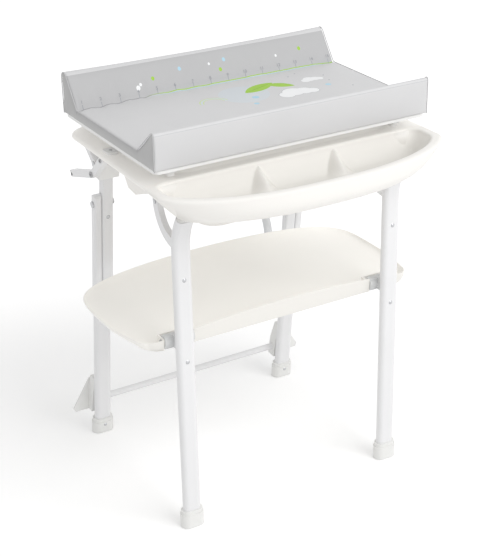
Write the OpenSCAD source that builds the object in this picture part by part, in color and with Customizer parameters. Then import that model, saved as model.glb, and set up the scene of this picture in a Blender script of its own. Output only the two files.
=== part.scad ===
// Folding bath and changing table: a moulded bath tub with an organiser lip on four
// tube legs, a padded changing mat that swings up behind it, and a drop-down shelf tray.
// Millimetres, +Z up, +X to the right, front towards -Y, floor at z = 0.

/* [Legs] */
// Half the distance between the left and right leg centres
leg_x = 240; // [238:1:242]
// Width of the flat-oval leg tube
leg_w = 38; // [36:1:38]
// Depth of the flat-oval leg tube
leg_t = 20; // [18:1:20]
// Wall of every steel tube
tube_wall = 1.5; // [1.2:0.1:2]
// Backward lean of the front legs, degrees
front_lean = 0.7; // [0.5:0.1:0.9]
// Forward lean of the rear legs, degrees
rear_lean = 7; // [7:0.05:7.1]
// Height of the leg fold pivot
pivot_z = 584; // [580:1:588]
// Height of the plastic foot
foot_h = 38; // [34:1:42]

/* [Bath tub] */
// Height of the tub rim above the floor
rim_z = 752; // [750:1:754]
// Half width of the rim
rim_half = 311; // [309:1:314]
// Wall of the moulded tub
tub_wall = 3; // [2.4:0.2:3.4]
// Thickness of the rim's edge
rim_t = 5.5; // [5:0.5:7]
// Depth of the organiser trough below the rim
trough_depth = 52; // [48:1:52]
// Radius of the drain hole
drain_r = 18; // [16:0.5:20]

/* [Changing mat] */
// Half length of the mat
mat_half = 301; // [297:1:303]
// Thickness of the lying pad
pad_t = 22; // [18:1:26]
// Height of the front bolster above the board
front_bolster_h = 73; // [66:1:78]
// Height of the rear bolster above the board
rear_bolster_h = 85; // [78:1:90]

/* [Shelf] */
// Height of the shelf hinge pins
shelf_z = 415; // [411:1:419]
// Half length of the tray rim
tray_half = 328; // [325:1:328]
// Wall of the moulded tray
tray_wall = 3; // [2.4:0.2:3.4]

/* [Hidden] */
$fn = 48;

fit_gap = 0.05;          // radial clearance of a running pin
side_gap = 0.5;          // gap between pieces that turn past each other
pin_r = 4;
front_y = -159.5;        // front leg axis on the floor
rear_y = 267.5;          // rear leg axis on the floor
tub_front = -312.5;
depth_back = 312.5;      // rearmost point, on the crossbar brackets

// Pieces side by side at each rear corner, from the inside out
post_in = leg_x - 24;
post_out = leg_x + 1.5;
tongue_in = post_out + side_gap;
tongue_out = leg_x + 19;
arm_in = post_out + side_gap;
arm_out = leg_x + 16;
bar_in = arm_out + 2;
bar_out = bar_in + 14;
post_w = post_out - post_in;
post_mid = (post_in + post_out) / 2;

// Places along the rear leg, measured along its own axis from the floor
pivot_l = pivot_z / cos(rear_lean);
pivot_y = rear_y - pivot_z * tan(rear_lean);
shoulder_l = pivot_l - 264.4;
post_foot_l = shoulder_l + 9;
post_top_l = (rim_z - 37) / cos(rear_lean);
tongue_round = 10;
tongue_top_l = pivot_l + 22;
tube_foot = 6;           // the tubes stand this far above the floor, inside their feet

// Mat hinge, level with the post tops
hinge_z = rim_z - 76;
hinge_y = rear_y - hinge_z * tan(rear_lean) - 0.5;
arm_t = 14;
board_z = rim_z + 28;    // underside of the board
board_t = 6;
mat_z = board_z + board_t;
mat_front = -180;
mat_back = 212;

// Front leg bend below the organiser
bend_l = rim_z - 142;
bend_r = 125;
bend_deg = 36;
front_axis_y = front_y + shelf_z * tan(front_lean);
leg_back_y = front_axis_y + leg_t / 2;

// Shelf hinge
shelf_y = leg_back_y + 18.5;
tray_front = shelf_y - 8.6;
tray_back = 180;
tray_floor_z = shelf_z - 17;
tray_rim_z = shelf_z + 23;
tray_crown_r = 3360;     // the rim dips towards both ends along this radius
bracket_half = 32;
notch_half = bracket_half + side_gap;
nose_r = 13;

// Crossbar between the rear feet
cross_y = 282;
cross_z = 75;
cross_r = 7.5;
cross_in = 214;

// Basin levels: half width, front, rear, corner radius, depth below the rim
basin_levels = [[118, -45, 104, 34, 166], [131, -53, 112, 40, 160], [150, -62, 120, 44, 140],
    [210, -92, 141, 52, 92], [229, -104, 150, 54, 65], [leg_x + 13, -117, 160, 56, 55],
    [leg_x + 15, -120, 164, 58, 0]];
// Bowed front of the lip, as a superellipse
bow_power = 2.5;
bow_round = 0.63;
lip_side_y = -208;
rim_rear_half = rim_half - 4;
rim_back = 213.5;
rim_r = 60;
bead_h = 6;              // bead round the basin, above the rim
// Trough and lip levels: half width, back, side end, bow of the front, corner radius, depth
trough_levels = [[rim_half - 59, -162, -195, 63, 18, trough_depth], [rim_half - 43, -159, -198, 77, 20, 43],
    [rim_half - 30, -156, -201, 89, 22, 25], [rim_half - 21, -153, -203, 93, 24, 0]];
lip_levels = [[rim_half - 58, -150, -198, 70, 18, 62], [rim_half - 45, -150, -202, 88, 20, 52],
    [rim_half - 30, -150, -205, 104, 22, 38], [rim_half - 13, -149, -207, 105.5, 24, 20],
    [rim_half - 2, -148, lip_side_y, lip_side_y - tub_front, 24, 4]];
ridge_x = [-72, 97];     // dividers between the three compartments
ridge_half = 30;
ridge_reach = 46;
ridge_back = -154;
ridge_drop = 8;          // tip of a divider below the rim

drain = [84, 72];
drain_floor_z = rim_z - 166;
plug_lift_gap = 0.1;
spigot_y = 118;
spigot_z = drain_floor_z - 9;
hose_r = 8;
hose_path = [[84, spigot_y, spigot_z], [87, 138, 576], [98, 162, 565], [116, 183, 543],
    [135, 196, 514], [152, 203, 482], [164, 206, 447], [170, 207, 412], [171, 207, 370],
    [170, 206, 330], [168, 205, 290], [167, 204, 250], [167, 204, 216]];

// Rivets of the tubes and the screw of the rest bars
rivet_heights = [shelf_z - 36, pivot_z - 31];
rivet_r = 2.5;
post_rivet_l = pivot_l - 31;
bracket_l = hinge_z - 18;
bar_bolt = [163, hinge_z - 12];
bar_line = [[107, rim_z - 36], bar_bolt, [266, hinge_z - 43]];
bar_t = 15;
screw_rows = [-112, 20, 150];   // screws from the mat arms into the board

// Stays from the front legs to the tub, and the clips on its rim
stay_r = 70;
stay_w = 20;
stay_t = 12;
stay_z = rim_z - 65 - stay_r;
stay_y = front_y + stay_z * tan(front_lean) + leg_t / 2;
clip_x = 283;
clip_y = 40;
tub_split_y = -136;      // where the moulding is shared between its two nodes
// ---------- shared shapes ----------

module side(s) {
    mirror([s < 0 ? 1 : 0, 0, 0]) children();
}

// Profile drawn in (y, z), swept along x from x0 to x1
module across(x0, x1) {
    translate([x0, 0, 0]) rotate([90, 0, 90]) linear_extrude(x1 - x0) children();
}

// Axis of a front or a rear leg, with z running up the leg
module front_axis() {
    translate([leg_x, front_y, 0]) rotate([-front_lean, 0, 0]) children();
}

module rear_axis() {
    translate([0, rear_y, 0]) rotate([rear_lean, 0, 0]) children();
}

module flat_oval(w, t) {
    square([w - t, t], center = true);
    for (s = [-1, 1]) translate([s * (w - t) / 2, 0]) circle(d = t);
}

module rounded_rect(w, t, r) {
    square([w - 2 * r, t], center = true);
    square([w, t - 2 * r], center = true);
    for (sx = [-1, 1], sy = [-1, 1])
        translate([sx * (w / 2 - r), sy * (t / 2 - r)]) circle(r);
}

module oval_tube(w, t, wall) {
    difference() {
        flat_oval(w, t);
        flat_oval(w - 2 * wall, t - 2 * wall);
    }
}

module box_tube(w, t, r, wall) {
    difference() {
        rounded_rect(w, t, r);
        rounded_rect(w - 2 * wall, t - 2 * wall, r - wall);
    }
}

// Flat bar of width w along a bent line of points with mitred corners, drawn in (y, z)
function unit(v) = v / norm(v);
function turned(v) = [-v[1], v[0]];
function strip_side(pts, w) = [for (i = [0 : len(pts) - 1])
    let (a = unit(pts[max(i, 1)] - pts[max(i - 1, 0)]),
        b = unit(pts[min(i + 1, len(pts) - 1)] - pts[min(i, len(pts) - 2)]),
        m = unit(turned(a) + turned(b)))
    pts[i] + m * w / 2 / (m * turned(a))];

module bent_strip(pts, w) {
    left = strip_side(pts, w);
    right = strip_side(pts, -w);
    polygon(concat(left, [for (i = [len(right) - 1 : -1 : 0]) right[i]]));
}

// Pin along x with a flat head at each stated end
module cross_pin(x0, x1, y, z, r, head_r, head_t, heads) {
    translate([x0, y, z]) rotate([0, 90, 0]) cylinder(r = r, h = x1 - x0);
    if (heads[0]) translate([x0 - head_t, y, z]) rotate([0, 90, 0]) cylinder(r = head_r, h = head_t);
    if (heads[1]) translate([x1, y, z]) rotate([0, 90, 0]) cylinder(r = head_r, h = head_t);
}

// Domed screw head with its seat at the origin, pointing along -y
module dome_head(r, h) {
    rotate([90, 0, 0]) intersection() {
        translate([0, 0, h - (r * r + h * h) / (2 * h)]) sphere((r * r + h * h) / (2 * h));
        cylinder(r = r, h = h);
    }
}

// Smooth solid through rings of points, each ring with the same count
module loft(rings) {
    n = len(rings[0]);
    last = len(rings) - 1;
    polyhedron(
        points = [for (ring = rings) for (p = ring) p],
        faces = concat(
            [[for (i = [0 : n - 1]) i]],
            [[for (i = [n - 1 : -1 : 0]) last * n + i]],
            [for (k = [0 : last - 1]) for (i = [0 : n - 1])
                [k * n + i, (k + 1) * n + i, (k + 1) * n + (i + 1) % n]],
            [for (k = [0 : last - 1]) for (i = [0 : n - 1])
                [k * n + i, (k + 1) * n + (i + 1) % n, k * n + (i + 1) % n]]));
}

function corner(cx, cy, r, a0, z, grow) =
    [for (a = [a0 : 11.25 : a0 + 90]) [cx + (r + grow) * cos(a), cy + (r + grow) * sin(a), z]];

// Rounded rectangle at height z, grown outwards by grow
function round_ring(half, y0, y1, r, z, grow) = concat(
    corner(half - r, y1 - r, r, 0, z, grow), corner(r - half, y1 - r, r, 90, z, grow),
    corner(r - half, y0 + r, r, 180, z, grow), corner(half - r, y0 + r, r, 270, z, grow));

// Rounded at the back, bowed out at the front
function bow_line(half, side_y, bow, z, grow) = [for (t = [-90 : 7.5 : 90])
    [(half + grow) * sin(t),
        side_y - (bow + grow) * pow(1 - pow(abs(sin(t)), bow_power), bow_round), z]];
function bowed_ring(half, back, side_y, bow, r, z, grow) = concat(
    corner(half - r, back - r, r, 0, z, grow), corner(r - half, back - r, r, 90, z, grow),
    bow_line(half, side_y, bow, z, grow));

function basin_rings(grow, top, drop) = [for (v = basin_levels)
    round_ring(v[0], v[1], v[2], v[3], rim_z - v[4] + (v[4] == 0 ? top : drop), grow)];

function trough_rings(top) = [for (v = trough_levels)
    bowed_ring(v[0], v[1], v[2], v[3], v[4], rim_z - v[5] + (v[5] == 0 ? top : 0), 0)];

function lip_rings() = [for (v = lip_levels) bowed_ring(v[0], v[1], v[2], v[3], v[4], rim_z - v[5], 0)];

function rim_ring(z, grow) = concat(
    corner(rim_rear_half - rim_r, rim_back - rim_r, rim_r, 0, z, grow),
    corner(rim_r - rim_rear_half, rim_back - rim_r, rim_r, 90, z, grow),
    bow_line(rim_half, lip_side_y, lip_side_y - tub_front, z, grow));

function bead_ring(z, grow) = let (v = basin_levels[len(basin_levels) - 1])
    round_ring(v[0], v[1], v[2], v[3], z, grow);

// ---------- legs of the standing frame ----------

module front_leg(s) {
    color("white") side(s) front_axis() difference() {
        union() {
            translate([0, 0, tube_foot]) linear_extrude(bend_l - tube_foot)
                oval_tube(leg_w, leg_t, tube_wall);
            translate([0, -bend_r, bend_l]) rotate([90, 0, 90]) rotate_extrude(angle = bend_deg)
                translate([bend_r, 0]) rotate(90) oval_tube(leg_w, leg_t, tube_wall);
        }
        for (z = rivet_heights) translate([0, 0, z]) rotate([90, 0, 0])
            cylinder(r = rivet_r, h = 2 * leg_t, center = true);
    }
}

module foot_shell(w, t) {
    linear_extrude(foot_h - 8) flat_oval(w, t);
    translate([0, 0, foot_h - 8.01]) linear_extrude(8.01) flat_oval(w - 4, t - 3);
    translate([0, 0, -4]) linear_extrude(4.01) flat_oval(w, t);
}

module floor_cut() {
    translate([-400, -400, -60]) cube([800, 800, 60]);
}

module front_foot(s) {
    color("gainsboro") difference() {
        side(s) front_axis() difference() {
            foot_shell(leg_w + 12, leg_t + 10);
            translate([0, 0, tube_foot]) linear_extrude(foot_h) flat_oval(leg_w, leg_t);
        }
        floor_cut();
    }
}

module leg_rivets() {
    color("silver") for (s = [-1, 1], z = rivet_heights) side(s) front_axis() {
        translate([0, leg_t / 2, z]) rotate([90, 0, 0]) cylinder(r = rivet_r, h = leg_t);
        translate([0, -leg_t / 2, z]) dome_head(4.5, 2);
        translate([0, leg_t / 2, z]) mirror([0, 1, 0]) dome_head(4.5, 2);
    }
}

module rear_post(s) {
    color("whitesmoke") side(s) difference() {
        rear_axis() translate([post_mid, 0, post_foot_l]) linear_extrude(post_top_l - post_foot_l)
            box_tube(post_w, leg_t, 5, tube_wall);
        cross_pin(post_in - 5, post_out + 5, pivot_y, pivot_z, pin_r + fit_gap, 0, 0, [false, false]);
        cross_pin(post_in - 5, post_out + 5, hinge_y, hinge_z, pin_r, 0, 0, [false, false]);
        rear_axis() translate([post_mid, 0, post_rivet_l]) rotate([90, 0, 0])
            cylinder(r = rivet_r, h = 2 * leg_t, center = true);
    }
}

module post_rivets() {
    color("silver") for (s = [-1, 1]) side(s) rear_axis() translate([post_mid, 0, post_rivet_l]) {
        translate([0, leg_t / 2, 0]) rotate([90, 0, 0]) cylinder(r = rivet_r, h = leg_t);
        translate([0, -leg_t / 2, 0]) dome_head(4.5, 2);
        translate([0, leg_t / 2, 0]) mirror([0, 1, 0]) dome_head(4.5, 2);
    }
}

// Moulded bracket that wraps the post below the rim: its front block carries the rest bar
module post_bracket(s) {
    color("white") side(s) difference() {
        rear_axis() difference() {
            union() {
                translate([post_in - 3, -leg_t / 2 - 20, bracket_l]) cube([post_w + 3, leg_t + 25, 32]);
                translate([post_in, -leg_t / 2 - 20, bracket_l]) cube([bar_in - post_in, 18, 32]);
                translate([post_in, leg_t / 2, bracket_l]) cube([post_w, 5, rim_z - bracket_l + 9]);
                translate([post_in, -leg_t / 2, post_top_l]) cube([post_w, leg_t + 5, 60]);
            }
            translate([post_mid, 0, 0]) linear_extrude(post_top_l) rounded_rect(post_w, leg_t, 5);
        }
        translate([0, 0, rim_z - rim_t]) cube([400, 400, 100]);
        cross_pin(post_in - 5, bar_in + 5, bar_bolt[0], bar_bolt[1], 3, 0, 0, [false, false]);
        cross_pin(post_in - 5, post_out + 1, hinge_y, hinge_z, pin_r, 0, 0, [false, false]);
    }
}

// ---------- stays from the front legs to the tub ----------

module curved_stay(s) {
    color("white") side(s) difference() {
        translate([leg_x, stay_y + 6, stay_z + stay_r]) rotate([90, 0, 90])
            rotate_extrude(angle = -90) translate([stay_r, 0]) square([stay_w, stay_t], center = true);
        stay_screw_bore();
    }
}

module stay_screw_bore() {
    translate([leg_x, stay_y + 6 + stay_r, stay_z + stay_r - 6]) rotate([0, 90, 0])
        cylinder(r = rivet_r, h = 40, center = true);
}

module stay_screws() {
    color("silver") for (s = [-1, 1]) side(s)
        cross_pin(leg_x - stay_t / 2, leg_x + stay_t / 2, stay_y + 6 + stay_r, stay_z + stay_r - 6,
            rivet_r, 5, 2, [true, true]);
}

module stay_end_plugs() {
    color("gray") for (s = [-1, 1]) side(s)
        translate([leg_x, stay_y + 6, stay_z]) rotate([90, 0, 0])
            linear_extrude(5.7) rounded_rect(stay_t + 6, stay_w + 2, 4);
}

// ---------- bath tub ----------

// Two dividers that rise to the back wall of the trough
module ridges() {
    floor_z = rim_z - trough_depth;
    for (x = ridge_x)
        polyhedron(
            points = [[x - ridge_half, ridge_back, floor_z - 2], [x + ridge_half, ridge_back, floor_z - 2],
                [x, ridge_back - ridge_reach, floor_z - 2], [x, ridge_back, rim_z - ridge_drop]],
            faces = [[2, 1, 0], [1, 3, 0], [2, 3, 1], [0, 3, 2]]);
}

// The whole moulding, which is one piece in the real thing
module tub_moulding() {
    difference() {
        union() {
            loft([rim_ring(rim_z - rim_t, -1), rim_ring(rim_z - rim_t + 1, 0), rim_ring(rim_z - 1.5, 0),
                rim_ring(rim_z, -1.5)]);
            loft([bead_ring(rim_z - 1, 9), bead_ring(rim_z + 4, 6), bead_ring(rim_z + bead_h, 3)]);
            loft(lip_rings());
            loft(basin_rings(0, -1, 0));
        }
        loft(basin_rings(-tub_wall, bead_h + 1, tub_wall));
        difference() {
            loft(trough_rings(1));
            ridges();
        }
        translate([drain[0], drain[1], drain_floor_z - 5]) cylinder(r = drain_r, h = 20);
    }
}

// Rear share of the moulding, with the basin
module bath_basin() {
    color("ivory") intersection() {
        tub_moulding();
        translate([-rim_half - 10, tub_split_y, drain_floor_z - 10])
            cube([2 * rim_half + 20, depth_back - tub_split_y, rim_z - drain_floor_z + 20]);
    }
}

// Front share of the moulding, with the lip and the trough
module organiser_trough() {
    color("ivory") difference() {
        tub_moulding();
        translate([-rim_half - 10, tub_split_y, drain_floor_z - 10])
            cube([2 * rim_half + 20, depth_back - tub_split_y, rim_z - drain_floor_z + 20]);
    }
}

module tub_clips() {
    color("white") for (s = [-1, 1]) side(s) difference() {
        translate([clip_x, clip_y, rim_z]) linear_extrude(5) rounded_rect(22, 30, 5);
        translate([clip_x, clip_y, rim_z - 1]) cylinder(r = 2, h = 10);
    }
}

module tub_screws() {
    color("silver") for (s = [-1, 1]) side(s) {
        translate([clip_x, clip_y, rim_z]) cylinder(r = 2, h = 5);
        translate([clip_x, clip_y, rim_z + 5]) rotate([-90, 0, 0]) dome_head(4, 2);
    }
}

module drain_elbow() {
    color("whitesmoke") difference() {
        union() {
            translate([drain[0], drain[1], drain_floor_z - 18]) cylinder(r = drain_r + 6, h = 18);
            translate([drain[0], drain[1], spigot_z]) rotate([-90, 0, 0])
                cylinder(r = hose_r, h = spigot_y - drain[1]);
        }
        translate([drain[0], drain[1], drain_floor_z - 15]) cylinder(r = drain_r + 3, h = 16);
        translate([drain[0], drain[1], spigot_z]) rotate([-90, 0, 0]) cylinder(r = 5.5, h = 60);
    }
}

// Round hose swept along its path, with rings turned to the path
function hose_dir(i) = unit(hose_path[min(i + 1, len(hose_path) - 1)] - hose_path[max(i - 1, 0)]);
function hose_ring(i) =
    let (d = i == 0 ? [0, 1, 0] : hose_dir(i), u = [1, 0, 0] - d * d[0], a = unit(u), b = cross(d, a))
    [for (k = [0 : 11]) hose_path[i] + hose_r * (a * cos(-30 * k) + b * sin(-30 * k))];

module drain_hose() {
    color("whitesmoke") loft([for (i = [0 : len(hose_path) - 1]) hose_ring(i)]);
}

module drain_plug() {
    color("lightblue") translate([drain[0], drain[1], 0]) {
        translate([0, 0, drain_floor_z - 1]) cylinder(r = drain_r - fit_gap, h = tub_wall + 1.5);
        translate([0, 0, drain_floor_z + tub_wall + plug_lift_gap]) cylinder(r = drain_r + 3, h = 3);
        translate([0, 0, drain_floor_z + tub_wall + 3]) cylinder(r = 3, h = 12);
        translate([0, 0, drain_floor_z + tub_wall + 20]) rotate([90, 0, 0])
            rotate_extrude() translate([7, 0]) circle(1.8);
    }
}

// ---------- bars that hold the mat when it is up ----------

module mat_rest_bar(s) {
    color("white") side(s) difference() {
        across(bar_in, bar_out) bent_strip(bar_line, bar_t);
        cross_pin(bar_in - 5, bar_out + 5, bar_bolt[0], bar_bolt[1], 3, 0, 0, [false, false]);
        translate([0, bar_line[0][0] + 8, bar_line[0][1] - 7.5]) rotate([0, 90, 0])
            cylinder(r = rivet_r, h = 400);
    }
}

module rest_bar_plugs() {
    fall = bar_line[2] - bar_line[1];
    color("dimgray") for (s = [-1, 1]) side(s) across(bar_in + 1, bar_out - 1)
        translate(bar_line[2]) rotate(atan2(fall[1], fall[0])) translate([0, -bar_t / 2 + 1])
            square([5, bar_t - 2]);
}

module rest_bar_screws() {
    color("dimgray") for (s = [-1, 1]) side(s) {
        cross_pin(post_in - 3, bar_out, bar_bolt[0], bar_bolt[1], 3, 6, 2.5, [true, true]);
        cross_pin(bar_in, bar_out, bar_line[0][0] + 8, bar_line[0][1] - 7.5, rivet_r, 4.5, 2, [false, true]);
    }
}

module mat_hinge_pins() {
    color("silver") for (s = [-1, 1]) side(s)
        cross_pin(post_in - 3, arm_out + 0.3, hinge_y, hinge_z, pin_r, 6, 1.5, [true, true]);
}

// ---------- changing mat ----------

module changing_mat() {
    color("lightgray") across(-mat_half, mat_half) polygon([
        [mat_front, mat_z], [mat_back, mat_z], [mat_back, mat_z + rear_bolster_h - 8],
        [mat_back - 6, mat_z + rear_bolster_h], [mat_back - 13, mat_z + rear_bolster_h],
        [149, mat_z + pad_t], [-113, mat_z + pad_t],
        [mat_front + 6, mat_z + front_bolster_h], [mat_front, mat_z + front_bolster_h - 2]]);
}

module mat_board() {
    color("gainsboro") difference() {
        translate([0, (mat_front + mat_back) / 2, board_z]) linear_extrude(board_t)
            rounded_rect(2 * mat_half - 6, mat_back - mat_front - 4, 12);
        for (s = [-1, 1], y = screw_rows) translate([s * (arm_in + arm_out) / 2, y, board_z - 1])
            cylinder(r = 2, h = board_t - 1);
    }
}

// Bent flat arm: from the hinge pin, round the back of the tub, then forward under the board
module mat_arm(s) {
    color("white") side(s) difference() {
        across(arm_in, arm_out) {
            translate([hinge_y, hinge_z]) circle(10);
            bent_strip([[hinge_y, hinge_z], [218, rim_z - 47], [226, rim_z - 12], [226, board_z - 19],
                [214, board_z - arm_t / 2], [-150, board_z - arm_t / 2]], arm_t);
        }
        cross_pin(arm_in - 5, arm_out + 5, hinge_y, hinge_z, pin_r + fit_gap, 0, 0, [false, false]);
        for (y = screw_rows) translate([(arm_in + arm_out) / 2, y, board_z - arm_t - 1])
            cylinder(r = 2, h = arm_t + 2);
    }
}

// Pads under the arms that rest on the tub rim
module arm_pads() {
    color("dimgray") for (s = [-1, 1], y = [-135, 60]) side(s)
        translate([(arm_in + arm_out) / 2, y, rim_z + bead_h + 0.3])
            linear_extrude(board_z - arm_t - rim_z - bead_h - 0.3) rounded_rect(arm_out - arm_in, 24, 4);
}

module mat_screws() {
    color("silver") for (s = [-1, 1], y = screw_rows) side(s) translate([(arm_in + arm_out) / 2, y, 0]) {
        translate([0, 0, board_z - arm_t]) cylinder(r = 2, h = arm_t + board_t - 2);
        translate([0, 0, board_z - arm_t]) rotate([90, 0, 0]) dome_head(4, 1.6);
    }
}

// ---------- folding rear legs ----------

module rear_leg(s) {
    color("white") side(s) difference() {
        union() {
            rear_axis() translate([leg_x, 0, tube_foot]) difference() {
                linear_extrude(shoulder_l - tube_foot) flat_oval(leg_w, leg_t);
                translate([0, 0, -1]) linear_extrude(shoulder_l - tube_foot - 3)
                    flat_oval(leg_w - 2 * tube_wall, leg_t - 2 * tube_wall);
            }
            rear_axis() intersection() {
                translate([(tongue_in + tongue_out) / 2, 0, shoulder_l - 1])
                    linear_extrude(tongue_top_l - shoulder_l + 1)
                        rounded_rect(tongue_out - tongue_in, leg_t, 5);
                across(tongue_in, tongue_out) {
                    translate([-leg_t / 2, 0]) square([leg_t, tongue_top_l - tongue_round]);
                    translate([0, tongue_top_l - tongue_round]) circle(leg_t / 2);
                }
            }
        }
        cross_pin(tongue_in - 1, tongue_out + 5, pivot_y, pivot_z, pin_r, 0, 0, [false, false]);
        rear_axis() translate([leg_x, 0, foot_h / 2 + 4]) rotate([90, 0, 0])
            cylinder(r = 2, h = leg_t);
    }
}

module leg_pivot_pins() {
    color("silver") for (s = [-1, 1]) side(s)
        cross_pin(post_in - 0.3, tongue_out, pivot_y, pivot_z, pin_r, 7, 2.5, [true, true]);
}

module rear_foot(s) {
    color("gainsboro") difference() {
        side(s) rear_axis() translate([leg_x, 0, 0]) difference() {
            foot_shell(leg_w + 12, leg_t + 10);
            translate([0, 0, tube_foot]) linear_extrude(foot_h) flat_oval(leg_w, leg_t);
            translate([0, 0, foot_h / 2 + 4]) rotate([90, 0, 0]) cylinder(r = 2, h = leg_t);
        }
        floor_cut();
    }
}

module foot_screws() {
    color("gray") for (s = [-1, 1]) side(s) rear_axis() translate([leg_x, 0, foot_h / 2 + 4]) {
        translate([0, -leg_t / 2 + tube_wall, 0]) rotate([90, 0, 0]) cylinder(r = 2, h = 5 + tube_wall);
        translate([0, -leg_t / 2 - 5, 0]) dome_head(4, 2);
    }
}

module rear_crossbar() {
    color("white") difference() {
        translate([-cross_in - 34, cross_y, cross_z]) rotate([0, 90, 0])
            cylinder(r = cross_r, h = 2 * cross_in + 68);
        translate([-cross_in - 35, cross_y, cross_z]) rotate([0, 90, 0])
            cylinder(r = cross_r - tube_wall, h = 2 * cross_in + 70);
    }
}

// Tapered bracket behind the leg that holds the crossbar, with a fin outwards and one back
module crossbar_bracket(s) {
    color("ivory") side(s) difference() {
        union() {
            rear_axis() translate([0, leg_t / 2, 0]) rotate([90, 0, 0]) mirror([0, 0, 1])
                linear_extrude(24) polygon([[leg_x - 19, 50], [leg_x + 22, 50], [leg_x + 18, 100],
                    [leg_x + 14, 134], [leg_x - 6, 134], [leg_x - 16, 96]]);
            translate([0, cross_y + 6, 0]) rotate([90, 0, 0]) mirror([0, 0, 1])
                linear_extrude(4) polygon([[leg_x + 6, 132], [leg_x + 16, 128], [leg_x + 58, 60],
                    [leg_x + 54, 51], [leg_x + 10, 51]]);
            across(leg_x + 12, leg_x + 15) polygon([[cross_y, 52], [depth_back, 52],
                [depth_back, 60], [cross_y + 8, 126], [cross_y - 4, 126]]);
        }
        translate([cross_in - 50, cross_y, cross_z]) rotate([0, 90, 0])
            cylinder(r = cross_r, h = 50 + 34);
    }
}

// ---------- drop-down shelf ----------

module shelf_bracket(s) {
    color("darkgray") side(s) difference() {
        union() {
            across(leg_x - bracket_half, leg_x + bracket_half) {
                translate([tray_front, shelf_z - nose_r]) square([shelf_y - tray_front, 2 * nose_r]);
                translate([shelf_y, shelf_z]) circle(nose_r);
            }
            across(leg_x - 14, leg_x + 14)
                translate([leg_back_y + 0.3, shelf_z - nose_r])
                    square([tray_front - leg_back_y, 2 * nose_r]);
        }
        cross_pin(leg_x - 40, leg_x + 40, shelf_y, shelf_z, pin_r + fit_gap, 0, 0, [false, false]);
    }
}

module tray_plan(grow) {
    // Front edge straight with round corners, back edge bowed
    intersection() {
        translate([0, (tray_front + tray_back + 60) / 2])
            rounded_rect(2 * (tray_half + grow), tray_back + 60 - tray_front + 2 * grow, 26 + grow);
        translate([0, tray_back - 1150]) circle(r = 1150 + grow, $fn = 240);
        translate([0, tray_back - 640 + 88]) circle(r = 552 + grow, $fn = 200);
    }
}

module tray_side(grow, lift) {
    // Flat floor with broad flared ends, drawn in (x, z)
    polygon([[-270 - grow, tray_floor_z + lift], [270 + grow, tray_floor_z + lift],
        [305 + grow, tray_floor_z + 9 + lift], [tray_half - 3 + grow, tray_floor_z + 22 + lift / 2],
        [tray_half + grow, tray_rim_z + 5], [-tray_half - grow, tray_rim_z + 5],
        [3 - tray_half - grow, tray_floor_z + 22 + lift / 2], [-305 - grow, tray_floor_z + 9 + lift]]);
}

module tray_form(grow, lift) {
    intersection() {
        translate([0, 300, 0]) rotate([90, 0, 0]) linear_extrude(600) tray_side(grow, lift);
        translate([0, 0, tray_floor_z]) linear_extrude(60) tray_plan(grow);
    }
}

module notch(grow) {
    for (s = [-1, 1]) side(s)
        translate([leg_x - notch_half - grow, tray_front - 5, tray_floor_z - 5])
            cube([2 * (notch_half + grow), shelf_y + nose_r + 2.5 - tray_front + 5 + grow, 60]);
}

module shelf_tray() {
    color("white") difference() {
        intersection() {
            tray_form(0, 0);
            translate([0, 300, tray_rim_z - tray_crown_r]) rotate([90, 0, 0])
                cylinder(r = tray_crown_r, h = 600, $fn = 360);
        }
        difference() {
            tray_form(-tray_wall, tray_wall);
            notch(tray_wall);
        }
        notch(0);
        for (s = [-1, 1]) side(s)
            cross_pin(leg_x - notch_half - 10, leg_x + notch_half + 10, shelf_y, shelf_z, pin_r, 0, 0,
                [false, false]);
    }
}

module shelf_pins() {
    color("silver") for (s = [-1, 1]) side(s)
        cross_pin(leg_x - notch_half - tray_wall, leg_x + notch_half + tray_wall, shelf_y, shelf_z,
            pin_r, 6, 1.5, [true, true]);
}

front_leg(-1);  // front_leg_left
front_leg(1);  // front_leg_right
front_foot(-1);  // front_foot_left
front_foot(1);  // front_foot_right
rear_post(-1);  // rear_post_left
rear_post(1);  // rear_post_right
post_bracket(-1);  // post_bracket_left
post_bracket(1);  // post_bracket_right
curved_stay(-1);  // curved_stay_left
curved_stay(1);  // curved_stay_right
stay_end_plugs();
stay_screws();
bath_basin();
organiser_trough();
tub_clips();
tub_screws();
mat_rest_bar(-1);  // mat_rest_bar_left
mat_rest_bar(1);  // mat_rest_bar_right
rest_bar_plugs();
rest_bar_screws();
mat_hinge_pins();
shelf_bracket(-1);  // shelf_bracket_left
shelf_bracket(1);  // shelf_bracket_right
leg_rivets();
post_rivets();
drain_elbow();
drain_hose();
changing_mat();
mat_board();
mat_arm(-1);  // mat_arm_left
mat_arm(1);  // mat_arm_right
arm_pads();
mat_screws();
rear_leg(-1);  // rear_leg_left
rear_leg(1);  // rear_leg_right
rear_foot(-1);  // rear_foot_left
rear_foot(1);  // rear_foot_right
rear_crossbar();
crossbar_bracket(-1);  // crossbar_bracket_left
crossbar_bracket(1);  // crossbar_bracket_right
leg_pivot_pins();
foot_screws();
shelf_tray();
shelf_pins();
drain_plug();
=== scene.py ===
import bmesh
import bpy
import math
from mathutils import Matrix, Vector, noise


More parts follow.
